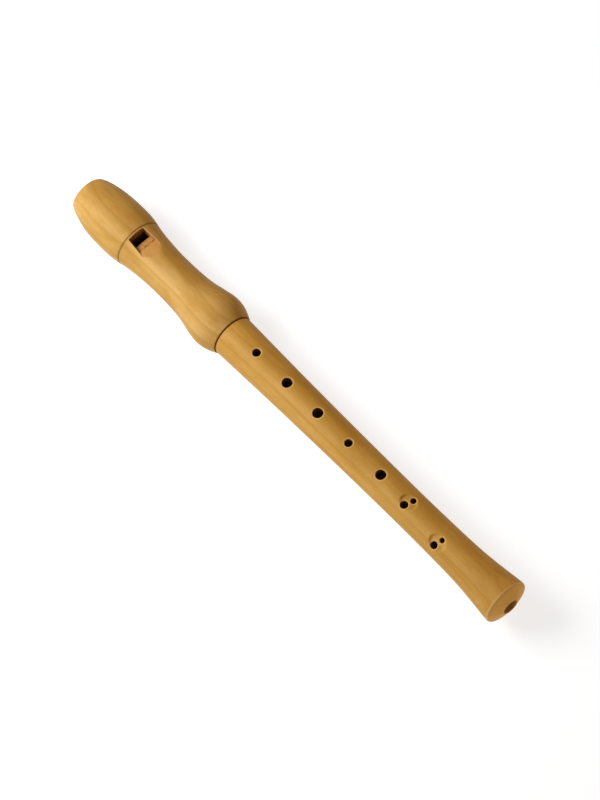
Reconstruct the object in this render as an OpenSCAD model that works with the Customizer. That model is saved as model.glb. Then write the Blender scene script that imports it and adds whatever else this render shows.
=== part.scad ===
// Soprano recorder in two joints, lying on its back with the finger holes up.
// The bore runs along X, with the beak at -X and the foot at +X.
// A station is a distance along the bore from the beak's tip, and a height is measured up from the bore's axis.

/* [Length and joints] */
// Length of the whole instrument, beak tip to foot
total_len = 325; // [324:0.5:327]
// Length of the head that shows, beak tip to joint line
head_len = 116.4; // [115.5:0.1:117]
// Length of the body's tenon
tenon_len = 19.5; // [16:0.5:20]
// Gap at the joint line between head and body
joint_gap = 0.3; // [0.1:0.05:0.5]

/* [Turned outline] */
// Radius at the beak's tip
tip_r = 10.35; // [10.2:0.05:10.6]
// Largest radius of the barrel above the window
barrel_r = 15.2; // [14.9:0.05:15.3]
// Radius at the decorative groove
groove_r = 14.0; // [13.8:0.05:14.2]
// Depth of the groove
groove_depth = 0.4; // [0.2:0.05:0.6]
// Smallest radius of the neck below the window
waist_r = 11.7; // [11.5:0.05:12]
// Largest radius of the bulb around the socket
bulb_r = 15.35; // [15.3:0.05:15.6]
// Radius of the head at the joint line
ring_r = 12.0; // [11.8:0.05:12.2]
// Radius of the body at the joint line
body_top_r = 11.65; // [11.5:0.05:11.75]
// Smallest radius of the body, above the foot
body_waist_r = 9.55; // [9.4:0.05:9.8]
// Largest radius of the foot
foot_r = 12.75; // [12.3:0.05:13]

/* [Bore] */
// Bore radius of the head behind the window
head_bore_r = 7.2; // [7:0.05:7.4]
// Bore radius where the head meets the tenon
head_bore_end_r = 6.7; // [6.5:0.05:6.8]
// Bore radius at the top of the tenon
body_bore_r = 6.5; // [6.3:0.05:6.6]
// Bore radius at the foot
foot_bore_r = 4.25; // [4:0.05:4.5]
// Length of the cylindrical stretch at the foot
foot_bore_len = 15; // [10:1:20]

/* [Window and windway] */
// Station of the window's upper wall, where windway and block end
window_s = 42.4; // [42:0.1:43]
// Distance from the windway's exit to the labium's edge
cut_up = 3.7; // [3.5:0.1:4.4]
// Width of the windway at its exit and of the window
window_w = 9.8; // [9.5:0.1:10.2]
// Extra width of the windway at its entry
windway_flare = 0.4; // [0:0.1:0.8]
// Height of the underside of the labium's edge above the axis
labium_h = 7.65; // [7.5:0.05:7.8]
// Thickness of the labium's edge
labium_t = 0.2; // [0.1:0.05:0.3]
// Length of the short steep slope behind the labium's edge
edge_len = 4.2; // [3:0.1:5]
// Angle of that slope in degrees
edge_angle = 25; // [22:0.5:28]
// Angle of the long slope above it in degrees
ramp_angle = 12.3; // [12:0.1:13.5]
// How far each side of the ramp opens outwards, in degrees
ramp_side_angle = 4; // [2:0.5:5]
// Height of the windway at its exit
windway_exit_h = 1.0; // [0.8:0.05:1.2]
// Height of the windway at its entry
windway_entry_h = 1.2; // [1.1:0.05:1.4]
// How much lower the windway's floor is at its entry than at its exit
windway_drop = 1.0; // [0.9:0.05:1.2]

/* [Beak] */
// Radius of the hollow cut under the beak
beak_cut_r = 40; // [36:1:44]
// Thickness of the wood that is left at the tip, from the cut up to the windway's floor
tip_floor = 3.0; // [2.6:0.1:3.4]

/* [Holes] */
// Stations of the five single finger holes
hole_s = [137.7, 161.1, 184.5, 207.6, 231.7];
// Diameters of the five single finger holes
hole_d = [4.5, 5.5, 5.6, 4.3, 5.5];
// Stations of the two pairs of holes
pair_s = [252.4, 277.9];
// Turn of each pair round the bore towards -Y, in degrees
pair_turn = [1, 28.3];
// Diameter of the larger hole of each pair
pair_big_d = [4.2, 3.9];
// Diameter of the smaller hole of each pair
pair_small_d = [3.1, 2.8];
// Sideways distance from a pair's middle to each of its holes
pair_side = 2.3; // [2.2:0.05:2.4]
// Lengthways distance from a pair's middle to each of its holes
pair_skew = 0.9; // [0:0.05:1]
// Radius of the hollow that holds a pair
dish_r = 5.1; // [4.9:0.1:5.4]
// Depth of that hollow
dish_depth = 0.85; // [0.7:0.05:1.1]
// Station of the thumb hole, on the underside
thumb_s = 127; // [125:0.5:129]
// Diameter of the thumb hole
thumb_d = 5.2; // [4.8:0.1:5.6]

/* [Tenon] */
// Radius of the tenon's bare wood
tenon_r = 8.85; // [8.7:0.05:8.95]
// Radius of the seat that the cork is glued to
cork_seat_r = 8.1; // [7.9:0.05:8.3]
// Radius over the cork
cork_r = 9.0; // [8.95:0.01:9.02]
// Length of the cork sleeve
cork_len = 11; // [9:0.5:12]
// Distance from the tenon's end to the cork
cork_start = 4; // [3:0.5:5]
// Radius of the socket in the head
socket_r = 9.05; // [9.03:0.01:9.1]
// Depth of the socket
socket_len = 20; // [19.6:0.1:21]

/* [Hidden] */

$fn = 96;
tip_x = -total_len / 2;
axis_z = bulb_r;
far = 60;                // longer than any cut needs to be
eps = 0.01;
slip = 0.03;             // play between the block and the head, and the glue line under the cork
band = 2;                // length of one band of a turned curve
edge = 0.35;             // softening of the joint's outer edges
floor_exit = head_bore_r;
floor_entry = floor_exit - windway_drop;
slot_bottom = sqrt(pow(head_bore_r, 2) - pow((window_w + windway_flare) / 2, 2)) - 0.3;
labium_s = window_s + cut_up;
undercut_len = 6.6;      // length of the flat under the labium, back to the bore
windway_chamfer = 0.6;   // on the block and on the windway's roof, where the air leaves
chamber_end_s = head_len - socket_len;
tenon_end_s = head_len - tenon_len;
cork_s = tenon_end_s + cork_start;
rim_s = total_len - 3.7; // where the foot's rim starts to round over
rim_round = 0.9;         // radius of that rounding, which runs into the foot's conical end face
dish_corner = 1.8;       // radius between a hollow's floor and its side

// The outlines are [station, radius] points with a smooth curve through them.
barrel_knots = [
    [2.2, tip_r + 1.5], [4.5, tip_r + 2.3], [8.5, barrel_r - 1.6], [14, barrel_r - 0.7],
    [21, barrel_r - 0.15], [28, barrel_r], [35, barrel_r - 0.25], [41, groove_r + 0.1]
];
neck_knots = [
    [41.8, groove_r - 0.15], [47, waist_r + 1.33], [54, waist_r + 0.62], [61, waist_r + 0.15], [69, waist_r],
    [78, waist_r + 0.2], [87, waist_r + 0.85], [95, bulb_r - 1.35], [101, bulb_r - 0.25], [104.5, bulb_r],
    [108.5, bulb_r - 0.4], [112.5, bulb_r - 1.6], [head_len - edge, ring_r]
];
body_knots = [
    [head_len + joint_gap + edge, body_top_r], [140, body_top_r - 0.6], [165, body_top_r - 1.15],
    [190, body_top_r - 1.55], [220, body_waist_r + 0.2], [252, body_waist_r], [270, body_waist_r + 0.15],
    [287, body_waist_r + 0.45], [298, body_waist_r + 0.95], [309, foot_r - 1.25], [317, foot_r - 0.35],
    [rim_s, foot_r]
];

// Slope of a curve at knot i, from its neighbours.
function slope(k, i) =
    let (a = k[max(i - 1, 0)], b = k[min(i + 1, len(k) - 1)]) (b[1] - a[1]) / (b[0] - a[0]);

// Point at share t of the way from knot i to the next.
function curve_point(k, i, t) =
    let (w = k[i + 1][0] - k[i][0], u = 1 - t)
    [k[i][0] + w * t,
     u * u * (1 + 2 * t) * k[i][1] + t * t * (3 - 2 * t) * k[i + 1][1]
     + w * t * u * (u * slope(k, i) - t * slope(k, i + 1))];

// Smooth [station, radius] curve through knots, in bands.
function curve(k) = concat(
    [for (i = [0:len(k) - 2])
        let (n = ceil((k[i + 1][0] - k[i][0]) / band))
        for (j = [0:n - 1]) curve_point(k, i, j / n)],
    [k[len(k) - 1]]
);

// Points of an arc round [station, radius], from angle a to angle b, where 0 points along the bore.
function arc(s, r, radius, a, b, n = 8) =
    [for (i = [0:n]) let (t = a + (b - a) * i / n) [s + radius * cos(t), r + radius * sin(t)]];

// Turned solid whose outline is a list of [station, radius].
module turned(outline) {
    translate([tip_x, 0, axis_z])
        rotate([0, 90, 0])
            rotate_extrude()
                polygon([for (p = outline) [p[1], p[0]]]);
}

// Cut or solid seen from the side, as [station, height] points, w wide across Y.
module side_prism(points, w) {
    translate([tip_x, w / 2, axis_z])
        rotate([90, 0, 0])
            linear_extrude(height = w)
                polygon(points);
}

// Wedge seen from above, w0 wide at station s0 and w1 at s1, through the whole height.
module plan_wedge(s0, w0, s1, w1) {
    translate([tip_x, 0, axis_z - far / 2])
        linear_extrude(height = far)
            polygon([[s0, -w0 / 2], [s1, -w1 / 2], [s1, w1 / 2], [s0, w0 / 2]]);
}

// Puts its children at a station, with +Z pointing away from the bore, turned towards -Y.
module at(s, turn) {
    translate([tip_x + s, 0, axis_z]) rotate([turn, 0, 0]) children();
}

module drilled_hole(s, turn, d, side = 0) {
    at(s, turn) translate([0, -side, 0]) cylinder(d = d, h = far / 2);
}

// Round hollow with a flat floor and a rounded corner, sunk into the body round a pair of holes.
module dish(s, turn) {
    floor_h = body_waist_r - dish_depth;
    corner_s = dish_r - dish_corner;
    at(s, turn)
        rotate_extrude()
            polygon(concat(
                [[0, far / 2], [0, floor_h]],
                [for (a = [-90:15:0]) [corner_s + dish_corner * cos(a), floor_h + dish_corner * (1 + sin(a))]],
                [[dish_r, far / 2]]
            ));
}

module pair_of_holes(i) {
    dish(pair_s[i], pair_turn[i]);
    drilled_hole(pair_s[i] - pair_skew, pair_turn[i], pair_big_d[i], pair_side);
    drilled_hole(pair_s[i] + pair_skew, pair_turn[i], pair_small_d[i], -pair_side);
}

// Hollow under the beak, whose surface rises to the wood left below the windway at the tip.
module beak_cut() {
    lowest_h = floor_entry - tip_floor;
    lead = 5.5;          // the cut's highest line lies this far ahead of the tip
    translate([tip_x - lead, 0, axis_z + lowest_h - sqrt(pow(beak_cut_r, 2) - pow(lead, 2))])
        rotate([90, 0, 0])
            cylinder(r = beak_cut_r, h = far, center = true, $fn = 180);
}

// Slot for the windway and the block's tongue, from the beak through to the flat under the labium.
module windway_slot() {
    roof_exit = floor_exit + windway_exit_h;
    roof_entry = floor_entry + windway_entry_h;
    intersection() {
        side_prism([
            [0, slot_bottom], [0, roof_entry], [window_s - windway_chamfer, roof_exit],
            [window_s, roof_exit + windway_chamfer], [labium_s + eps, roof_exit + windway_chamfer],
            [labium_s + eps, labium_h], [labium_s + undercut_len, head_bore_r - eps],
            [labium_s + undercut_len, slot_bottom]
        ], far);
        plan_wedge(-eps, window_w + windway_flare, labium_s + undercut_len, window_w);
    }
}

// Window and ramp, cut down from the outside to the labium's edge.
module window_and_ramp() {
    edge_end_s = labium_s + edge_len;
    edge_end_h = labium_h + labium_t + edge_len * tan(edge_angle);
    ramp_len = 18;       // runs out past the neck's surface
    ramp_end_s = edge_end_s + ramp_len;
    side_rise = (ramp_end_s - window_s) * tan(ramp_side_angle);
    intersection() {
        side_prism([
            [window_s, slot_bottom], [window_s, far / 2], [ramp_end_s, far / 2],
            [ramp_end_s, edge_end_h + ramp_len * tan(ramp_angle)], [edge_end_s, edge_end_h],
            [labium_s, labium_h + labium_t], [labium_s, slot_bottom]
        ], far);
        plan_wedge(window_s - eps, window_w, ramp_end_s, window_w + 2 * side_rise);
    }
}

module head_joint() {
    color("burlywood")
    difference() {
        turned(concat(
            [[0, 0], [0, tip_r - 0.6], [0.35, tip_r + 0.1], [1, tip_r + 0.75]],
            curve(barrel_knots),
            [[(barrel_knots[7][0] + neck_knots[0][0]) / 2, groove_r - groove_depth]],
            curve(neck_knots),
            [[head_len, ring_r - edge], [head_len, 0]]
        ));
        // Bore, with the socket at its lower end.
        turned([
            [-eps, 0], [-eps, head_bore_r], [labium_s + undercut_len, head_bore_r],
            [chamber_end_s, head_bore_end_r], [chamber_end_s, socket_r], [head_len - 0.6, socket_r],
            [head_len + eps, socket_r + 0.6], [head_len + eps, 0]
        ]);
        windway_slot();
        window_and_ramp();
        beak_cut();
    }
}

module block() {
    slot_end_s = labium_s + undercut_len;
    tongue_entry_w = window_w + windway_flare - 2 * slip;
    tongue_exit_w = window_w + windway_flare * (slot_end_s - window_s) / slot_end_s - 2 * slip;
    color("peru")
    difference() {
        union() {
            turned([[0, 0], [0, head_bore_r - slip], [window_s, head_bore_r - slip], [window_s, 0]]);
            intersection() {
                side_prism([[0, 0], [0, floor_entry], [window_s, floor_exit], [window_s, 0]], far);
                plan_wedge(0, tongue_entry_w, window_s, tongue_exit_w);
            }
        }
        // Above the windway's floor, with a chamfer where the air leaves.
        side_prism([
            [-eps, floor_entry], [window_s - windway_chamfer, floor_exit],
            [window_s + eps, floor_exit - windway_chamfer], [window_s + eps, far / 2], [-eps, far / 2]
        ], far);
        beak_cut();
    }
}

module tenon_cork() {
    color("tan")
    turned([
        [cork_s + slip, cork_seat_r + slip], [cork_s + slip, cork_r - 0.3], [cork_s + 0.5, cork_r],
        [cork_s + cork_len - 0.5, cork_r], [cork_s + cork_len - slip, cork_r - 0.3],
        [cork_s + cork_len - slip, cork_seat_r + slip]
    ]);
}

module body_joint() {
    top_s = head_len + joint_gap;
    bore_end_s = total_len - foot_bore_len;
    color("burlywood")
    difference() {
        turned(concat(
            [[tenon_end_s, 0], [tenon_end_s, tenon_r - 0.5], [tenon_end_s + 0.5, tenon_r], [cork_s, tenon_r],
             [cork_s, cork_seat_r], [cork_s + cork_len, cork_seat_r], [cork_s + cork_len, tenon_r],
             [top_s, tenon_r], [top_s, body_top_r - edge]],
            curve(body_knots),
            arc(rim_s, foot_r - rim_round, rim_round, 80, 20),
            [[total_len, foot_bore_r + 0.1], [total_len, 0]]
        ));
        turned([
            [tenon_end_s - eps, 0], [tenon_end_s - eps, body_bore_r], [bore_end_s, foot_bore_r],
            [total_len + eps, foot_bore_r], [total_len + eps, 0]
        ]);
        for (i = [0:len(hole_s) - 1]) drilled_hole(hole_s[i], 0, hole_d[i]);
        for (i = [0:len(pair_s) - 1]) pair_of_holes(i);
        drilled_hole(thumb_s, 180, thumb_d);
    }
}

head_joint();
block();
tenon_cork();
body_joint();
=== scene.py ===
"""A wooden soprano recorder in two joints, lying on a pale floor with its finger holes up.

Shapes are worked out in millimetres as (s, y, h): s is the station along the bore from the beak's tip,
y is sideways and h is the height above the bore's axis. The frame gives their place, in metres.
rho is the distance from the bore's axis. A field is a signed distance, negative inside the shape.
"""

import math

import bpy
import numpy as np
from mathutils import Matrix, Vector


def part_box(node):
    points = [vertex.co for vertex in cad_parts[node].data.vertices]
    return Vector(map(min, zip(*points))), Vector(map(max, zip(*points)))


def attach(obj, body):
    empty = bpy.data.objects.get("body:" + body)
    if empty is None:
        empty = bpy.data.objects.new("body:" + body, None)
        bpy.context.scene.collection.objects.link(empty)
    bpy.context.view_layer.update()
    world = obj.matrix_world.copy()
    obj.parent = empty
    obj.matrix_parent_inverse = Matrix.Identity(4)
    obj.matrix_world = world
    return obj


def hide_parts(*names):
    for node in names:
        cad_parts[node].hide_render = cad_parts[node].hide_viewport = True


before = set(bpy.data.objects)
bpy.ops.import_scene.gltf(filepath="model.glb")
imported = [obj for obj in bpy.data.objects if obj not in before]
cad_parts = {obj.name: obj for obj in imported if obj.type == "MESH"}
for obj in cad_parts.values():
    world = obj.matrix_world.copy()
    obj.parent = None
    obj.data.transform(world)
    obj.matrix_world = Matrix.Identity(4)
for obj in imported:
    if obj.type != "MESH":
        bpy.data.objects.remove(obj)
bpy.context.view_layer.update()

MM = 0.001
DIAGONAL = math.sqrt(0.5)                   # turns a 45 degree chamfer's field into a distance

# ---------------------------------------------------------------- sizes from the frame, in mm

head_low, head_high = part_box("head_joint")
body_low, body_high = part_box("body_joint")
cork_low, cork_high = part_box("tenon_cork")
tip_x = head_low.x
axis_z = (head_low.z + head_high.z) / 2


def station(x):
    return round((x - tip_x) / MM, 2)


head_len = station(head_high.x)
tenon_end = station(body_low.x)
total_len = station(body_high.x)
window_s = station(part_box("block")[1].x)
cork_start = station(cork_low.x)
cork_end = station(cork_high.x)
cork_r = (cork_high.y - cork_low.y) / 2 / MM
bulb_r = (head_high.z - head_low.z) / 2 / MM
foot_r = (body_high.y - body_low.y) / 2 / MM

# ---------------------------------------------------------------- sizes of the design, in mm

JOINT_GAP = 0.3
body_start = head_len + JOINT_GAP
FOOT_RIM_S = total_len - 3.7
BODY_WAIST_R = 9.55

# Turned outlines: (station, radius), with a smooth curve through them.
BARREL = [(0, 10.85), (2.2, 11.85), (4.5, 12.65), (8.5, 13.6), (14, 14.5), (21, 15.05), (28, 15.2),
          (35, 14.95), (41, 14.1)]
NECK = [(41.8, 13.85), (47, 13.03), (54, 12.32), (61, 11.85), (69, 11.7), (78, 11.9), (87, 12.55),
        (95, bulb_r - 1.35), (101, bulb_r - 0.25), (104.5, bulb_r), (108.5, bulb_r - 0.4),
        (112.5, bulb_r - 1.6), (head_len, 12.0)]
BODY = [(body_start, 11.65), (140, 11.05), (165, 10.5), (190, 10.1), (220, 9.75), (252, BODY_WAIST_R),
        (270, 9.7), (287, 10.0), (298, 10.5), (309, foot_r - 1.25), (317, foot_r - 0.35),
        (FOOT_RIM_S, foot_r)]
GROOVE_S, GROOVE_HALF_W, GROOVE_DEPTH = 41.4, 0.4, 0.4

# The head's ends and its bore.
TIP_ROUND = 0.9
BEAK_CUT_R = 40
BEAK_CUT_LEAD = 5.5                         # the cut's highest line lies this far ahead of the tip
BEAK_CUT_ROUND = 0.9
TIP_FLOOR = 3.0                             # wood between that cut and the windway's floor
HEAD_BORE_R = 7.2
SOCKET_LEN, SOCKET_R = 20, 9.05
CHAMBER_END_S, CHAMBER_END_R = head_len - SOCKET_LEN, 6.7
MOUTH_CHAMFER = 0.6
JOINT_EDGE = 0.35
HEAD_BORE_EDGE = 0.2

# The windway, the window and the ramp.
WINDOW_W, WINDOW_LEN = 9.8, 3.7
WINDWAY_FLARE = 0.4
WINDWAY_ENTRY_H, WINDWAY_EXIT_H = 1.2, 1.0
WINDWAY_CLIMB = 1.0
FLOOR_ENTRY = HEAD_BORE_R - WINDWAY_CLIMB
ROOF_ENTRY = FLOOR_ENTRY + WINDWAY_ENTRY_H
ROOF_EXIT = HEAD_BORE_R + WINDWAY_EXIT_H
WINDWAY_CHAMFER = 0.6
WINDWAY_EDGE = [(1, 3), (0.3, 0.1)]         # stations, and the rounding there
WINDOW_EDGE = [(8.4, 10), (0.1, 0.35)]      # heights, and the rounding there
SLOT_BOTTOM = 4.78
LABIUM_S = window_s + WINDOW_LEN
LABIUM_H, LABIUM_T = 7.65, 0.2
UNDERCUT_END = LABIUM_S + 6.6
EDGE_LEN = 4.2                              # of the short steep slope behind the labium's edge
EDGE_SLOPE = math.tan(math.radians(25))
EDGE_END = LABIUM_S + EDGE_LEN
EDGE_END_H = LABIUM_H + LABIUM_T + EDGE_LEN * EDGE_SLOPE
CREASE_ROUND = 0.5
RAMP_SLOPE = math.tan(math.radians(12.3))
SIDE_SLOPE = math.tan(math.radians(4))

# The block.
SLIP = 0.03                                 # gap round the block, and at the ends of the cork's seat
BLOCK_EDGE, BLOCK_TIP_EDGE, BLOCK_FINE_EDGE = 0.15, 0.12, 0.1

# The body, its tenon and its foot.
TENON_R, TENON_ROOT, TENON_EDGE = 8.85, 5, 0.5
CORK_SEAT_R, CORK_SEAT_EDGE = 8.1, 0.1
BODY_BORE_R, FOOT_BORE_R = 6.5, 4.25
BODY_BORE_EDGE, FOOT_BORE_EDGE = 0.45, 0.3
FOOT_BORE_START = total_len - 15
FOOT_SLOPE = 0.375                          # of the foot's conical end face
RIM_ROUND = 0.9

# Single holes: station, degrees round from the top towards +Y, and diameter. The last is the thumb's.
SINGLE_HOLES = [(137.7, 0, 4.5), (161.1, 0, 5.5), (184.5, 0, 5.6), (207.6, 0, 4.3), (231.7, 0, 5.5),
                (127, 180, 5.2)]
# Pairs of holes in a hollow: station, degrees round, larger and smaller diameter.
PAIRS = [(252.4, -1.0, 4.2, 3.1), (277.9, -28.3, 3.9, 2.8)]
PAIR_SIDE, PAIR_SKEW = 2.3, 0.9             # each hole's place from the hollow's middle
HOLE_ROUND = 0.45
DISH_R, DISH_DEPTH = 5.1, 0.85
DISH_FLOOR = BODY_WAIST_R - DISH_DEPTH
DISH_CORNER, DISH_EDGE = 1.8, 0.4

# The cork sleeve.
CORK_EDGE = 0.3
SEAM_LEAN, SEAM_HALF_W, SEAM_DEPTH = 0.35, 0.25, 0.12
PIT_LEVEL, PIT_DEPTH = 0.55, 0.1

# ---------------------------------------------------------------- fields


def both(a, b, r=0.0):
    """Inside both shapes, with the edge between them rounded to radius r."""
    return np.minimum(np.maximum(a, b), -r) + np.hypot(np.maximum(a + r, 0), np.maximum(b + r, 0))


def either(a, b, r=0.0):
    """Inside either shape, with the corner between them filled to radius r."""
    return -both(-a, -b, r)


def less(a, b, r=0.0):
    """Shape a with b cut out of it, and the rim rounded to radius r."""
    return both(a, -b, r)


def turned(knots):
    """Field of a solid turned to a smooth cubic outline through (station, radius) knots."""
    at, radius = np.array(knots, float).T
    last = len(at) - 1
    low = np.maximum(np.arange(last + 1) - 1, 0)
    high = np.minimum(np.arange(last + 1) + 1, last)
    slope = (radius[high] - radius[low]) / (at[high] - at[low])

    def field(s, rho):
        i = np.clip(np.searchsorted(at, s, side="right") - 1, 0, last - 1)
        width = at[i + 1] - at[i]
        t = np.clip((s - at[i]) / width, 0, 1)
        u = 1 - t
        r = u * u * (1 + 2 * t) * radius[i] + t * t * (3 - 2 * t) * radius[i + 1]
        r = r + width * t * u * (u * slope[i] - t * slope[i + 1])
        steep = 6 * t * u * (radius[i + 1] - radius[i]) / width
        steep = steep + u * (1 - 3 * t) * slope[i] - t * (2 - 3 * t) * slope[i + 1]
        return (rho - r) / np.sqrt(1 + steep * steep)

    return field


barrel_outside, neck_outside, body_outside = turned(BARREL), turned(NECK), turned(BODY)


def head_outside(s, rho):
    wood = np.where(s < GROOVE_S, barrel_outside(s, rho), neck_outside(s, rho))
    return wood + GROOVE_DEPTH * np.maximum(0, 1 - np.abs(s - GROOVE_S) / GROOVE_HALF_W)


def beak_end(s, h):
    """The tip's flat end and the hollow cut under the beak, which the head and the block share."""
    middle_h = FLOOR_ENTRY - TIP_FLOOR - math.sqrt(BEAK_CUT_R ** 2 - BEAK_CUT_LEAD ** 2)
    hollow = np.hypot(s + BEAK_CUT_LEAD, h - middle_h) - BEAK_CUT_R
    return less(-s, hollow, BEAK_CUT_ROUND)


def head_bore(s, rho):
    """The bore behind the block, the socket and the chamfer at its mouth."""
    bore = rho - np.interp(s, [UNDERCUT_END, CHAMBER_END_S], [HEAD_BORE_R, CHAMBER_END_R])
    bore = either(bore, both(rho - SOCKET_R, CHAMBER_END_S - s), HEAD_BORE_EDGE)
    return np.minimum(bore, (rho - SOCKET_R - MOUTH_CHAMFER + head_len - s) * DIAGONAL)


def windway(s, y, h):
    """The slot for the air and for the block's tongue, with the flat under the labium behind it."""
    roof = h - np.interp(s, [0, window_s - WINDWAY_CHAMFER, window_s],
                         [ROOF_ENTRY, ROOF_EXIT, ROOF_EXIT + WINDWAY_CHAMFER])
    under = h - np.interp(s, [LABIUM_S, UNDERCUT_END], [LABIUM_H, HEAD_BORE_R])
    beyond = np.abs(s - LABIUM_S) - UNDERCUT_END + LABIUM_S
    top = np.minimum(both(roof, s - LABIUM_S), both(under, beyond))
    half_w = np.interp(s, [0, UNDERCUT_END], [(WINDOW_W + WINDWAY_FLARE) / 2, WINDOW_W / 2])
    return both(both(top, np.abs(y) - half_w), SLOT_BOTTOM - h)


def window(s, y, h):
    """The window and the ramp down to the labium's edge."""
    steep = (h - EDGE_END_H - (s - EDGE_END) * EDGE_SLOPE) / math.hypot(1, EDGE_SLOPE)
    long = (h - EDGE_END_H - (s - EDGE_END) * RAMP_SLOPE) / math.hypot(1, RAMP_SLOPE)
    ramp = -both(steep, long, CREASE_ROUND)
    opening = np.minimum(ramp, both(s - LABIUM_S, SLOT_BOTTOM - h))
    side = np.abs(y) - WINDOW_W / 2 - (s - window_s) * SIDE_SLOPE
    return both(both(opening, side), window_s - s)


def head_solid(s, y, h):
    """The head before its bore, windway and window are cut."""
    wood = both(head_outside(s, np.hypot(y, h)), beak_end(s, h), TIP_ROUND)
    return both(wood, s - head_len, JOINT_EDGE)


def head_field(s, y, h):
    wood = less(head_solid(s, y, h), head_bore(s, np.hypot(y, h)), HEAD_BORE_EDGE)
    wood = less(wood, windway(s, y, h), np.interp(s, *WINDWAY_EDGE))
    return less(wood, window(s, y, h), np.interp(h, *WINDOW_EDGE))


def block_field(s, y, h):
    """The round plug with its flat tongue, cut off with the beak and chamfered at the window."""
    slot_w = np.interp(s, [0, UNDERCUT_END], [WINDOW_W + WINDWAY_FLARE, WINDOW_W])
    floor = h - np.interp(s, [0, window_s], [FLOOR_ENTRY, HEAD_BORE_R])
    tongue = both(np.abs(y) - slot_w / 2 + SLIP, -h)
    wood = either(np.hypot(y, h) - HEAD_BORE_R + SLIP, tongue, BLOCK_FINE_EDGE)
    wood = both(both(wood, floor, BLOCK_EDGE), beak_end(s, h), BLOCK_TIP_EDGE)
    wood = both(wood, s - window_s, BLOCK_EDGE)
    chamfer = (s - window_s + h - HEAD_BORE_R + WINDWAY_CHAMFER) * DIAGONAL
    return both(wood, chamfer, BLOCK_FINE_EDGE)


def hole_place(s, y, h, at, turn):
    """Distance along the bore, sideways and out from it, seen from a place on the body's surface."""
    c, n = math.cos(math.radians(turn)), math.sin(math.radians(turn))
    return s - at, y * c - h * n, y * n + h * c


def hole_fields(s, y, h):
    """Every finger hole as a round cut from the bore outwards."""
    holes = []
    for at, turn, across in SINGLE_HOLES:
        along, side, out = hole_place(s, y, h, at, turn)
        holes.append(both(np.hypot(along, side) - across / 2, -out))
    for at, turn, large, small in PAIRS:
        along, side, out = hole_place(s, y, h, at, turn)
        holes.append(both(np.hypot(along + PAIR_SKEW, side + PAIR_SIDE) - large / 2, -out))
        holes.append(both(np.hypot(along - PAIR_SKEW, side - PAIR_SIDE) - small / 2, -out))
    return holes


def dish_field(s, y, h, at, turn):
    along, side, out = hole_place(s, y, h, at, turn)
    return both(np.hypot(along, side) - DISH_R, DISH_FLOOR - out, DISH_CORNER)


def past_cork(s):
    """Distance past the cork sleeve's ends."""
    return np.abs(s - (cork_start + cork_end) / 2) - (cork_end - cork_start) / 2


def foot_face(s, rho):
    """Height over the foot's conical end face, measured along the bore."""
    return s - total_len + FOOT_SLOPE * (rho - FOOT_BORE_R)


def body_solid(s, y, h):
    """The body and its tenon before the bore and the holes are cut."""
    rho = np.hypot(y, h)
    wood = both(body_outside(s, rho), foot_face(s, rho) / math.hypot(1, FOOT_SLOPE), RIM_ROUND)
    for at, turn, _, _ in PAIRS:
        wood = less(wood, dish_field(s, y, h, at, turn), DISH_EDGE)
    seat = both(CORK_SEAT_R - rho, past_cork(s) - SLIP)
    tenon = less(both(rho - TENON_R, tenon_end - s, TENON_EDGE), seat, CORK_SEAT_EDGE)
    return np.minimum(both(wood, body_start - s, JOINT_EDGE), both(tenon, s - body_start - TENON_ROOT))


def body_field(s, y, h):
    bore_r = np.interp(s, [tenon_end, FOOT_BORE_START], [BODY_BORE_R, FOOT_BORE_R])
    edge = np.interp(s, [tenon_end, total_len], [BODY_BORE_EDGE, FOOT_BORE_EDGE])
    wood = less(body_solid(s, y, h), np.hypot(y, h) - bore_r, edge)
    for hole in hole_fields(s, y, h):
        wood = less(wood, hole, HOLE_ROUND)
    return wood


def cork_field(s, y, h):
    """The cork sleeve, with a slanting glued seam and small pits."""
    rho, around = np.hypot(y, h), np.arctan2(y, -h)
    sleeve = both(both(rho - cork_r, CORK_SEAT_R + SLIP - rho), past_cork(s), CORK_EDGE)
    seam = np.abs(around * cork_r - (s - cork_start) * SEAM_LEAN) / SEAM_HALF_W
    pits = np.sin(s * 5.1 + 3 * around) * np.sin(around * 23) * np.sin(s * 2.3 - 9 * around)
    return sleeve + SEAM_DEPTH * np.maximum(0, 1 - seam) + PIT_DEPTH * np.maximum(0, pits - PIT_LEVEL)


# ---------------------------------------------------------------- meshes from fields

GRADING = 0.3                               # how fast grid steps widen away from a fine place
FIELD_STEP = 1e-3
UNTANGLE_ROUNDS, BARELY_INSIDE = 4, -1e-4
SETTLE_ROUNDS, SETTLE_STEP, LEAST_SLOPE = 4, 0.25, 0.5

CORNERS = np.array([[i, j, k] for i in (0, 1) for j in (0, 1) for k in (0, 1)])
CELL_EDGES = [(a, b) for a in range(8) for b in range(a + 1, 8)
              if np.abs(CORNERS[a] - CORNERS[b]).sum() == 1]


def graded(low, high, coarse, places=()):
    """Grid lines from low to high, coarse apart and closer round each (middle, reach, step) place."""
    lines = [low]
    while lines[-1] < high:
        steps = [fine + max(0, abs(lines[-1] - middle) - reach) * GRADING
                 for middle, reach, fine in places]
        lines.append(lines[-1] + min([coarse] + steps))
    return low + (np.array(lines) - low) * (high - low) / (lines[-1] - low)


def round_angles(coarse, places):
    """Grid angles all the way round, in radians, from places in degrees."""
    fine = [tuple(map(math.radians, place)) for place in places]
    return graded(-math.pi, math.pi, math.radians(coarse), fine)[:-1]


def round_place(s, angle, rho):
    return s, rho * np.sin(angle), rho * np.cos(angle)


def square_place(s, y, h):
    return s, y, h


def gradient(field, points):
    """Field and its slope at points."""
    offsets = np.eye(3) * FIELD_STEP
    steps = [field(*(points + offset).T) - field(*(points - offset).T) for offset in offsets]
    return field(*points.T), np.stack(steps, 1) / (2 * FIELD_STEP)


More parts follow.
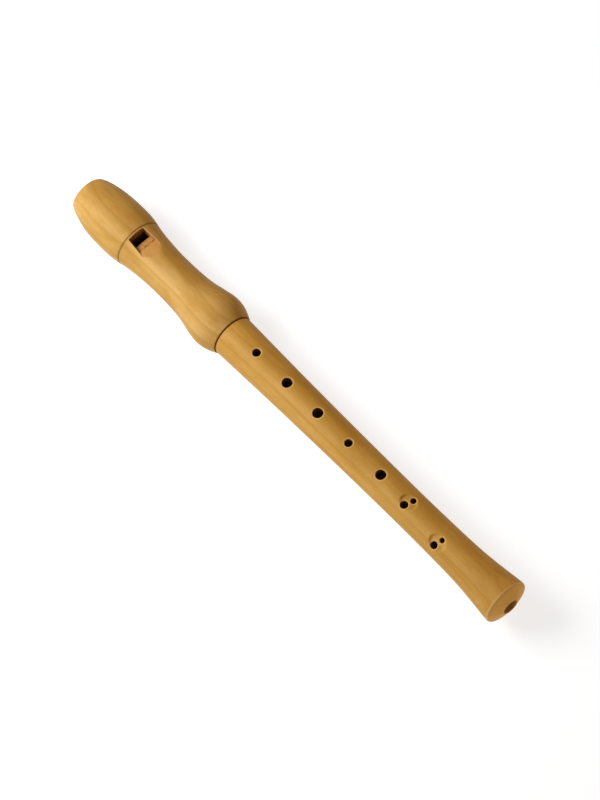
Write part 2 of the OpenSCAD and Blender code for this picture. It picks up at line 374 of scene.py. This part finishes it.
def untangle(value):
    """Fills the weakest empty corner of each grid face whose corners alternate, where a mesh pinches."""
    turns = ((0, 0), (-1, 0), (-1, -1), (0, -1))
    for axes in ((0, 1), (1, 2), (0, 2)) * UNTANGLE_ROUNDS:
        ring = np.stack([np.roll(value, turn, axes) for turn in turns])
        full = ring < 0
        tangled = (full[0] == full[2]) & (full[1] == full[3]) & (full[0] != full[1])
        weakest = np.argmin(np.where(full, np.inf, ring), 0)
        for n, (u, v) in enumerate(turns):
            fill = np.roll(tangled & (weakest == n), (-u, -v), axes)
            value = np.where(fill, BARELY_INSIDE, value)
    return value


def cell_points(grid, value, cells):
    """For each cell, the middle of the places where the surface crosses the cell's edges."""
    total, hits = np.zeros((len(cells), 3)), np.zeros(len(cells))
    for a, b in CELL_EDGES:
        at_a, at_b = tuple((cells + CORNERS[a]).T), tuple((cells + CORNERS[b]).T)
        value_a, value_b = value[at_a], value[at_b]
        crossed = (value_a < 0) != (value_b < 0)
        share = np.where(crossed, value_a / np.where(crossed, value_a - value_b, 1), 0)[:, None]
        total += crossed[:, None] * (grid[at_a] + share * (grid[at_b] - grid[at_a]))
        hits += crossed
    return total / hits[:, None]


def settled(field, points):
    """Points moved onto field = 0, a little at a time."""
    for _ in range(SETTLE_ROUNDS):
        value, slope = gradient(field, points)
        move = slope * (value / np.maximum((slope ** 2).sum(1), LEAST_SLOPE ** 2))[:, None]
        points = points - np.clip(move, -SETTLE_STEP, SETTLE_STEP)
    return points


def quads_across(inside, number, axis, closed):
    """A quad for each grid step along axis that crosses the surface, between its four cells' points."""
    u, v = (axis + 1) % 3, (axis + 2) % 3
    size = np.array(number.shape)
    crossed = inside != np.roll(inside, -1, axis)
    crossed[tuple(slice(-1, None) if n == axis else slice(None) for n in range(3))] = False
    at = np.argwhere(crossed)
    if closed:
        at = at[at[:, 1] < size[1]]
    corners = []
    for du, dv in ((1, 1), (0, 1), (0, 0), (1, 0)):
        cell = at.copy()
        cell[:, u] -= du
        cell[:, v] -= dv
        if closed:
            cell[:, 1] %= size[1]
        fits = ((cell >= 0) & (cell < size)).all(1)
        corners.append(np.where(fits, number[tuple(np.clip(cell, 0, size - 1).T)], -1))
    quads = np.stack(corners, 1)
    inward = ~inside[tuple(at.T)]
    quads[inward] = quads[inward][:, ::-1]
    return quads[(quads >= 0).all(1)]


def net(field, place, lines, closed):
    """Points and quads on field = 0: a point in each grid cell that the surface crosses, moved onto it.
    closed joins the ends of the second set of lines, which then goes all the way round."""
    grid = np.stack(place(*np.meshgrid(*lines, indexing="ij")), -1)
    value = untangle(field(grid[..., 0], grid[..., 1], grid[..., 2]))
    if closed:
        grid, value = [np.concatenate([part, part[:, :1]], 1) for part in (grid, value)]
    inside = value < 0
    size = np.array(inside.shape) - 1
    count = sum(inside[i:i + size[0], j:j + size[1], k:k + size[2]].astype(int)
                for i, j, k in CORNERS)
    cells = np.argwhere((count > 0) & (count < len(CORNERS)))
    number = np.full(size, -1)
    number[tuple(cells.T)] = np.arange(len(cells))
    points = settled(field, cell_points(grid, value, cells))
    return points, np.concatenate([quads_across(inside, number, axis, closed) for axis in range(3)])


def piece(name, field, place, lines, closed, body, node, marks):
    """Meshes a field and puts it in the frame on its body. marks(points) gives its paint attributes."""
    points, quads = net(field, place, lines, closed)
    mesh = bpy.data.meshes.new(name)
    mesh.from_pydata((points * MM + [tip_x, 0, axis_z]).tolist(), [], quads.tolist())
    normals = gradient(field, points)[1]
    normals /= np.maximum(np.linalg.norm(normals, axis=1, keepdims=True), 1e-9)
    for mark, values in marks(points).items():
        attribute = mesh.attributes.new(mark, "FLOAT", "POINT")
        attribute.data.foreach_set("value", values.astype(np.float32))
    mesh.polygons.foreach_set("use_smooth", np.ones(len(quads), bool))
    mesh.normals_split_custom_set_from_vertices(normals.tolist())
    made = bpy.data.objects.new(name, mesh)
    bpy.context.scene.collection.objects.link(made)
    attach(made, body)
    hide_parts(node)
    return made


# ---------------------------------------------------------------- paint marks

# Each wooden piece has four paint marks from 0 to 1: inner (the bore, the socket, the window's wall),
# dark (painted shade in the groove, in the crease behind the labium's edge, on the window's wall and in
# the gap at the joints; painted shade with stains in the finger holes and at the block's end; darker end
# grain at the joints and blotches on the labium's edge), fresh (cut wood that shows its redder core) and
# rim (worn, pale edges with a painted highlight). They are worked out from distances in mm. In them,
# depth is how far a point lies under the outside that was there before anything was cut.

GROOVE_SHADE, WINDOW_WALL_SHADE, BLOTCH_DIRT, SHOULDER_GRAIN_AND_SHADE = 0.24, 0.45, 0.4, 0.6
END_GRAIN, HOLE_RIM_WEAR_AND_HIGHLIGHT = 0.6, 0.8
FOOT_RIM_WEAR_AND_HIGHLIGHT_S = total_len - 3.65


def near(distance, reach):
    """1 at distance 0, falling off smoothly round it."""
    return np.exp(-(distance / reach) ** 2)


def rise(value, low, high):
    """0 up to low and 1 from high, with a smooth step between."""
    share = np.clip((value - low) / (high - low), 0, 1)
    return share * share * (3 - 2 * share)


def fall(value, low, high):
    """1 up to low and 0 from high, with a smooth step between."""
    return rise(-value, -high, -low)


def crease_shade(s, y):
    """Painted shade: an uneven dark line along the crease between the labium's edge and the ramp."""
    waver = 0.25 * np.sin(2.1 * y) + 0.1 * np.sin(5.3 * y + 1)
    return near(s - EDGE_END - waver, 0.6) * (0.55 + 0.25 * np.sin(1.3 * y + 2))


def blotches(s, y):
    """Irregular spots on the labium's edge, from two waves that bend each other."""
    first = np.sin(2.6 * y + 1.9 * s + 1.6 * np.sin(0.9 * y))
    second = np.sin(1.7 * s - 1.1 * y + 1.4 * np.sin(1.7 * y + 0.8 * s))
    return np.maximum(0, first * second) * fall(s, EDGE_END - 0.5, EDGE_END + 0.5)


def head_marks(points):
    s, y, h = points.T
    depth, opening = -head_solid(s, y, h), window(s, y, h)
    cut = near(opening, 0.3) * rise(h, 7.4, 7.9)                # the window's and the ramp's faces
    ramp = cut * rise(depth, 0.05, 0.4)
    well_inside = rise(depth, 0.5, 2)
    # The window's upstream wall takes the bore's inner colour and painted shade.
    wall = cut * well_inside * fall(s, window_s, window_s + 0.3)
    # The head's joint face: darker end grain, with painted shade along its outer edge where the gap
    # between the joints shows.
    joint_face = near(head_len - s, 0.35) * (0.35 + 0.65 * rise(np.hypot(y, h), 11.2, 11.6))
    # Painted shade darkens the groove.
    dark = GROOVE_SHADE * near(s - GROOVE_S, 0.85) * fall(depth, 0.6, 1.2) + joint_face
    dark = dark + ramp * (crease_shade(s, y) + BLOTCH_DIRT * blotches(s, y)) + WINDOW_WALL_SHADE * wall
    # Rim along the window's sides: paler worn edges with a painted highlight.
    window_side = near(opening, 0.35) * near(depth, 0.3) * (h > 6)
    # Fresh is stronger on the steep facet behind the labium's edge, so that facet is darker and redder
    # than the long slope.
    return {"inner": well_inside * (1 - cut) + 0.8 * wall, "dark": np.minimum(dark, 1),
            "rim": window_side * fall(s, EDGE_END + 1, EDGE_END + 5),
            "fresh": ramp * (0.7 + 0.3 * fall(s, EDGE_END - 1.5, EDGE_END + 1))}


def body_marks(points):
    s, y, h = points.T
    rho, depth, holes = np.hypot(y, h), -body_solid(s, y, h), np.array(hole_fields(s, y, h))
    # Painted shade with a stain darkens the finger holes' inner faces.
    walls = near(np.maximum(np.abs(holes).min(0) - 0.3, 0), 0.3) * rise(depth, 0.2, 0.8)
    # The body's joint face: darker end grain, with painted shade along its outer edge where the gap
    # between the joints shows.
    shoulder_edge = 0.35 * rise(rho, 8.9, 9.4) + 0.65 * rise(rho, 10.9, 11.3)
    shoulder = SHOULDER_GRAIN_AND_SHADE * near(s - body_start, 0.25) * shoulder_edge
    # Paler worn rims round the holes, with a painted highlight.
    hole_rim_wear_and_highlight = near(np.maximum(holes.min(0) - 0.3, 0), 0.35) * (depth < 0.5)
    # A painted highlight along the foot's rounded rim, on paler worn wood.
    foot_rim_wear_and_highlight = near(s - FOOT_RIM_WEAR_AND_HIGHLIGHT_S, 0.5) * rise(rho, foot_r - 1.0, foot_r - 0.4)
    return {"inner": rise(depth, 1, 2), "dark": np.maximum(walls, shoulder),
            "rim": np.maximum(HOLE_RIM_WEAR_AND_HIGHLIGHT * hole_rim_wear_and_highlight, foot_rim_wear_and_highlight),
            "fresh": END_GRAIN * rise(foot_face(s, rho), -0.6, -0.1)}


def block_marks(points):
    s, nothing = points[:, 0], np.zeros(len(points))
    # Painted shade in the windway, with a moisture stain: the block darkens to near black towards its
    # end at the window.
    dark = rise(s, window_s - 4, window_s - 0.3)
    return {"inner": nothing, "dark": dark, "rim": nothing, "fresh": nothing}


def no_marks(points):
    return {}


# ---------------------------------------------------------------- the recorder's pieces

# Grids: the lowest and highest line, the widest step, and (middle, reach, step) of each finer place.


def make_head():
    along = graded(-1, head_len + 1, 0.9, [
        (0.5, 1.5, 0.3),                    # the tip
        (14, 12, 0.55),                     # the beak
        (GROOVE_S, 0.5, 0.14), (window_s, 0.8, 0.16), (LABIUM_S, 0.8, 0.14), (EDGE_END, 0.5, 0.25),
        (56, 3, 0.3),                       # the ramp's far end
        (CHAMBER_END_S, 0.3, 0.25), (head_len, 0.8, 0.16)])
    around = round_angles(2.8, [(26, 4.5, 0.8), (-26, 4.5, 0.8), (0, 38, 2.2)])
    out = graded(6.2, bulb_r + 0.8, 0.45, [(8.2, 0.8, 0.16), (7.3, 0.1, 0.2), (10.8, 1.4, 0.25)])
    return piece("recorder_head", head_field, round_place, [along, around, out], True,
                 "head", "head_joint", head_marks)


def make_body():
    holes = [(at, across / 2 + 0.5, 0.32) for at, _, across in SINGLE_HOLES]
    pairs = [(at, DISH_R + 0.4, 0.32) for at, _, _, _ in PAIRS]
    along = graded(tenon_end - 1, total_len + 1, 2.2, [
        *holes, *pairs, (tenon_end, 0.8, 0.2), (cork_start, 0.3, 0.2), (cork_end, 0.3, 0.2),
        (body_start, 0.5, 0.15), (total_len - 3, 2.3, 0.28), (total_len, 0.5, 0.2)])
    around = round_angles(5, [(-14, 45, 2.1), (180, 17, 2.6), (-180, 17, 2.6)])
    out = graded(3.7, foot_r + 0.6, 0.4, [(8.5, 0.6, 0.22)])
    return piece("recorder_body", body_field, round_place, [along, around, out], True,
                 "body", "body_joint", body_marks)


def make_block():
    reach = HEAD_BORE_R + 1
    along = graded(-1, window_s + 1, 0.9, [(0.3, 1, 0.2), (window_s - 0.3, 0.6, 0.15)])
    across = graded(-reach, reach, 0.5, [(-5.2, 0.4, 0.2), (5.2, 0.4, 0.2)])
    up = graded(-reach, reach, 0.5, [(HEAD_BORE_R, 0.3, 0.15), (5, 0.4, 0.25)])
    return piece("fipple_block", block_field, square_place, [along, across, up], False,
                 "block", "block", block_marks)


def make_cork():
    ends = [(cork_start, 0.3, 0.14), (cork_end, 0.3, 0.14)]
    along = graded(cork_start - 0.6, cork_end + 0.6, 0.35, ends)
    out = graded(CORK_SEAT_R - 0.4, cork_r + 0.4, 0.15)
    return piece("cork_sleeve", cork_field, round_place, [along, round_angles(2.2, []), out], True,
                 "cork", "tenon_cork", no_marks)


# ---------------------------------------------------------------- materials


class Paint:
    """A material being built from shader nodes."""

    def __init__(self, name):
        self.material = bpy.data.materials.new(name)
        self.material.use_nodes = True
        self.tree = self.material.node_tree
        self.shader = self.tree.nodes["Principled BSDF"]
        place = self.node("ShaderNodeTexCoord").outputs["Object"]
        self.mm = self.vector("MULTIPLY", place, (1 / MM,) * 3)

    def put(self, socket, value):
        if isinstance(value, bpy.types.NodeSocket):
            self.tree.links.new(value, socket)
        else:
            socket.default_value = value

    def node(self, kind, inputs=(), **settings):
        made = self.tree.nodes.new(kind)
        for name, value in settings.items():
            setattr(made, name, value)
        for key, value in dict(inputs).items():
            self.put(made.inputs[key], value)
        return made

    def math(self, operation, a, b=0.0):
        return self.node("ShaderNodeMath", {0: a, 1: b}, operation=operation).outputs[0]

    def vector(self, operation, a, b=(0, 0, 0)):
        made = self.node("ShaderNodeVectorMath", {0: a, 1: b}, operation=operation)
        return made.outputs["Value" if operation in ("LENGTH", "DOT_PRODUCT") else "Vector"]

    def noise(self, stretch, detail, rough=0.5, shift=(0, 0, 0)):
        """Noise whose features are about stretch millimetres long each way."""
        at = self.vector("ADD", self.vector("MULTIPLY", self.mm, tuple(1 / v for v in stretch)), shift)
        return self.node("ShaderNodeTexNoise", {"Vector": at, "Scale": 1.0, "Detail": detail,
                                                "Roughness": rough}).outputs["Fac"]

    def mark(self, name):
        return self.node("ShaderNodeAttribute", attribute_name=name).outputs["Fac"]

    def ramp(self, value, stops):
        """Number or colour from a number, along (place, result) stops."""
        made = self.node("ShaderNodeValToRGB", {"Fac": value})
        while len(made.color_ramp.elements) < len(stops):
            made.color_ramp.elements.new(0.5)
        for element, (at, result) in zip(made.color_ramp.elements, stops):
            element.position = at
            element.color = (result, result, result, 1) if np.isscalar(result) else (*result, 1)
        return made.outputs["Color"]

    def mix(self, share, a, b, how="MIX"):
        made = self.node("ShaderNodeMix", data_type="RGBA", blend_type=how)
        self.put(made.inputs["Factor"], share)
        for socket, value in ((made.inputs[6], a), (made.inputs[7], b)):
            self.put(socket, value if isinstance(value, bpy.types.NodeSocket) else (*value, 1))
        return made.outputs[2]

    def bump(self, height, distance, strength, under=None):
        """The surface's normal over a height, on top of the bumps in under. distance is in metres."""
        inputs = {"Height": height, "Distance": distance, "Strength": strength}
        if under is not None:
            inputs["Normal"] = under
        return self.node("ShaderNodeBump", inputs).outputs["Normal"]

    def base(self, colour):
        self.put(self.shader.inputs["Base Color"], colour)


# How long the features of the wood are in mm, along the grain, sideways and up.
WANDER, RIPPLE = (110, 26, 26), (24, 5, 5)
FIBRES, STREAKS, CLOUDS, PORES = (26, 0.45, 0.45), (150, 3, 3), (30, 10, 10), (2.2, 0.16, 0.16)
WANDER_DEPTH, RIPPLE_DEPTH = 7, 0.9         # how far the growth rings wander, in mm
TAPER = 0.02                                # how fast the tree narrows along its grain
LATE_WOOD = [(0, 0.0), (0.6, 0.08), (0.87, 0.6), (0.94, 1.0), (1.0, 0.0)]
PORE_SHARE, FRESH_SHARE, RIM_SHARE = 0.3, 0.85, 0.75
WOOD_SPECULAR = 0.05

# pith is the tree's middle as y and z in mm. The tint and its side entry are painted shade that darkens
# and warms the +Y side, away from the key light; the side entry gives its lean along X, and where the
# tint starts and is full, in mm across.
# In each look, crease is the colour of the dark mark, which is painted shade for the most part, and rim
# is the colour of worn edges that carry a painted highlight.
HEAD_WOOD = {"light": (0.61, 0.37, 0.12), "dark": (0.485, 0.27, 0.062), "line": (0.38, 0.195, 0.034),
             "fresh": (0.46, 0.205, 0.06), "rim": (0.70, 0.46, 0.21), "inner": (0.36, 0.21, 0.10),
             "crease": (0.18, 0.055, 0.009), "shade_tint": (0.84, 0.76, 0.55),
             "shaded_side": (-0.05, 1.0, 11.0), "pith": (-58, -26), "ring_w": 8.5, "ring_share": 0.5,
             "rough": 0.46}
BODY_WOOD = {"light": (0.595, 0.34, 0.086), "dark": (0.505, 0.27, 0.055), "line": (0.37, 0.178, 0.029),
             "fresh": (0.80, 0.42, 0.09), "rim": (0.80, 0.52, 0.21), "inner": (0.50, 0.32, 0.19),
             "crease": (0.11, 0.07, 0.045), "shade_tint": (0.97, 0.88, 0.62),
             "shaded_side": (0, -4.0, 6.0), "pith": (-44, -60), "ring_w": 6.0, "ring_share": 0.38,
             "rough": 0.46}
CEDAR = {"light": (0.40, 0.19, 0.085), "dark": (0.31, 0.135, 0.055), "line": (0.20, 0.075, 0.032),
         "fresh": (0.4, 0.15, 0.06), "rim": (0.5, 0.25, 0.12), "inner": (0.1, 0.04, 0.02),
         "crease": (0.05, 0.03, 0.02), "shade_tint": (1.0, 1.0, 1.0),
         "shaded_side": (0, -4.0, 6.0), "pith": (20, -70), "ring_w": 2.6, "ring_share": 0.6,
         "rough": 0.65}


def late_wood(paint, look):
    """How much of a point is its growth ring's dark late wood."""
    wander = paint.math("MULTIPLY", paint.noise(WANDER, 2), WANDER_DEPTH)
    ripple = paint.math("MULTIPLY", paint.noise(RIPPLE, 3), RIPPLE_DEPTH)
    trunk = paint.vector("MULTIPLY", paint.mm, (TAPER, 1, 1))
    reach = paint.vector("LENGTH", paint.vector("SUBTRACT", trunk, (0, *look["pith"])))
    reach = paint.math("ADD", paint.math("ADD", reach, wander), ripple)
    return paint.ramp(paint.math("FRACT", paint.math("DIVIDE", reach, look["ring_w"])), LATE_WOOD)


def figure(paint, look, late, fibres, streaks, pores):
    """The wood's colour before wear, dirt and the other paint marks, with painted shade on its +Y side.
    """
    clouds = paint.ramp(paint.noise(CLOUDS, 4, 0.55, (7, 2, 9)), [(0.38, 0.0), (0.62, 1.0)])
    colour = paint.mix(clouds, look["light"], look["dark"])
    for share in (paint.math("MULTIPLY", late, look["ring_share"]),
                  paint.ramp(streaks, [(0.4, 0.0), (0.72, 0.3)]),
                  paint.ramp(fibres, [(0.3, 0.2), (0.6, 0.0)]),
                  paint.math("MULTIPLY", pores, PORE_SHARE)):
        colour = paint.mix(share, colour, look["line"])
    # Painted shade: darkens and warms the +Y side, away from the key light.
    lean, start, full = look["shaded_side"]
    across = paint.vector("DOT_PRODUCT", paint.mm, (lean, 1, 0))
    shade_tint = paint.node("ShaderNodeMapRange", {"Value": across, "From Min": start, "From Max": full})
    return paint.mix(shade_tint.outputs["Result"], colour, look["shade_tint"], "MULTIPLY")


def wood(name, look):
    """Fine-grained wood with its grain along X, and the paint marks over it."""
    paint = Paint(name)
    late = late_wood(paint, look)
    fibres = paint.noise(FIBRES, 4, 0.6)
    streaks = paint.noise(STREAKS, 3, 0.55, (3, 8, 1))
    pores = paint.ramp(paint.noise(PORES, 1, 0.4, (5, 5, 5)), [(0.66, 0.0), (0.74, 1.0)])

    colour = figure(paint, look, late, fibres, streaks, pores)
    fresh = paint.math("MULTIPLY", paint.mark("fresh"), FRESH_SHARE)
    rim = paint.math("MULTIPLY", paint.mark("rim"), RIM_SHARE)
    # The dark mark mixes in painted shade for the most part, and the rim mark a painted highlight on
    # worn edges.
    for share, tone in ((fresh, "fresh"), (rim, "rim"), (paint.mark("inner"), "inner"),
                        (paint.mark("dark"), "crease")):
        colour = paint.mix(share, colour, look[tone])
    paint.base(colour)

    rough = paint.ramp(fibres, [(0.2, look["rough"] + 0.06), (0.8, look["rough"] - 0.05)])
    paint.put(paint.shader.inputs["Roughness"], rough)
    paint.shader.inputs["Specular IOR Level"].default_value = WOOD_SPECULAR
    grain = paint.bump(fibres, 0.00006, 0.5)
    grain = paint.bump(pores, -0.00005, 0.6, grain)
    paint.put(paint.shader.inputs["Normal"], paint.bump(streaks, 0.0004, 0.25, grain))
    return paint.material


def cork():
    """Pressed cork: pale grains, dark specks and a dry, uneven face."""
    paint = Paint("cork")
    grains = paint.node("ShaderNodeTexVoronoi", {"Vector": paint.mm, "Scale": 1.1, "Randomness": 1.0})
    tone = paint.ramp(grains.outputs["Color"], [(0.1, (0.30, 0.16, 0.07)), (0.5, (0.50, 0.30, 0.14)),
                                                (0.9, (0.62, 0.41, 0.21))])
    specks = paint.ramp(paint.noise((0.7, 0.45, 0.45), 3, 0.6), [(0.60, 0.0), (0.68, 0.8)])
    paint.base(paint.mix(specks, tone, (0.07, 0.03, 0.015)))
    paint.shader.inputs["Roughness"].default_value = 0.85
    rough = paint.bump(grains.outputs["Distance"], 0.0002, 0.5)
    paint.put(paint.shader.inputs["Normal"], paint.bump(specks, -0.0002, 0.7, rough))
    return paint.material


def paint_all(head, body, block, sleeve):
    head.data.materials.append(wood("pear_wood_head", HEAD_WOOD))
    body.data.materials.append(wood("pear_wood_body", BODY_WOOD))
    block.data.materials.append(wood("cedar", CEDAR))
    sleeve.data.materials.append(cork())


# ---------------------------------------------------------------- floor, lights and camera

FLOOR_SIDE = 6.0                            # half the floor's width, in metres
FLOOR_COLOUR, FLOOR_ROUGHNESS = (0.45, 0.45, 0.44, 1), 0.9
FLOOR_GLOW, FLOOR_GLOW_STRENGTH = (0.88, 0.91, 0.95, 1), 0.79

KEY_PLACE, KEY_SIZE = (-0.35, -0.28, 0.43), (0.45, 0.32)
KEY_COLOUR, KEY_WATTS = (0.95, 1.0, 1.06), 4.12
SKY_COLOUR, SKY_STRENGTH = (1, 0.76, 0.47, 1), 0.33

CAMERA_TURN = (63.72, 63.44, -16.78)        # azimuth, elevation and roll in degrees
CAMERA_DISTANCE, CAMERA_RIGHT, CAMERA_UP = 1.7211, 0.0042, -0.0034
CAMERA_LENS, CAMERA_SENSOR_W, CAMERA_CLIP_END = 153.5, 36, 50


def make_floor():
    mesh = bpy.data.meshes.new("floor")
    side = FLOOR_SIDE
    corners = [(-side, -side, 0), (side, -side, 0), (side, side, 0), (-side, side, 0)]
    mesh.from_pydata(corners, [], [(0, 1, 2, 3)])
    floor = bpy.data.objects.new("floor", mesh)
    bpy.context.scene.collection.objects.link(floor)
    paint = Paint("pale_floor")
    paint.base(FLOOR_COLOUR)
    paint.shader.inputs["Roughness"].default_value = FLOOR_ROUGHNESS
    paint.shader.inputs["Emission Color"].default_value = FLOOR_GLOW
    paint.shader.inputs["Emission Strength"].default_value = FLOOR_GLOW_STRENGTH
    mesh.materials.append(paint.material)


def make_key_light():
    """A soft light low on the window's side of the head."""
    light = bpy.data.lights.new("key_light", "AREA")
    light.shape = "RECTANGLE"
    light.size, light.size_y = KEY_SIZE
    light.energy = KEY_WATTS
    light.color = KEY_COLOUR
    lamp = bpy.data.objects.new("key_light", light)
    lamp.location = KEY_PLACE
    aim = Vector((0, 0, axis_z)) - Vector(KEY_PLACE)
    lamp.rotation_euler = aim.to_track_quat("-Z", "Y").to_euler()
    bpy.context.scene.collection.objects.link(lamp)


def make_sky():
    """A warm, even light from all round."""
    world = bpy.data.worlds.new("studio")
    bpy.context.scene.world = world
    world.use_nodes = True
    world.node_tree.nodes["Background"].inputs["Color"].default_value = SKY_COLOUR
    world.node_tree.nodes["Background"].inputs["Strength"].default_value = SKY_STRENGTH
    bpy.context.scene.view_settings.view_transform = "Standard"


def make_camera():
    """The camera stands above the foot's end, a long way off, and is rolled a little."""
    azimuth, elevation, roll = map(math.radians, CAMERA_TURN)
    back = Vector((math.sin(azimuth) * math.cos(elevation), -math.cos(azimuth) * math.cos(elevation),
                   math.sin(elevation)))
    level = Vector((math.cos(azimuth), math.sin(azimuth), 0))
    upright = back.cross(level)
    right = level * math.cos(roll) + upright * math.sin(roll)
    up = upright * math.cos(roll) - level * math.sin(roll)
    camera = bpy.data.objects.new("camera", bpy.data.cameras.new("camera"))
    camera.data.lens = CAMERA_LENS
    camera.data.sensor_width = CAMERA_SENSOR_W
    camera.data.clip_end = CAMERA_CLIP_END
    turn = Matrix((right, up, back)).transposed().to_4x4()
    place = Vector((0, 0, axis_z)) + back * CAMERA_DISTANCE + right * CAMERA_RIGHT + up * CAMERA_UP
    camera.matrix_world = Matrix.Translation(place) @ turn
    bpy.context.scene.collection.objects.link(camera)
    bpy.context.scene.camera = camera


make_camera()
paint_all(make_head(), make_body(), make_block(), make_cork())
make_floor()
make_key_light()
make_sky()
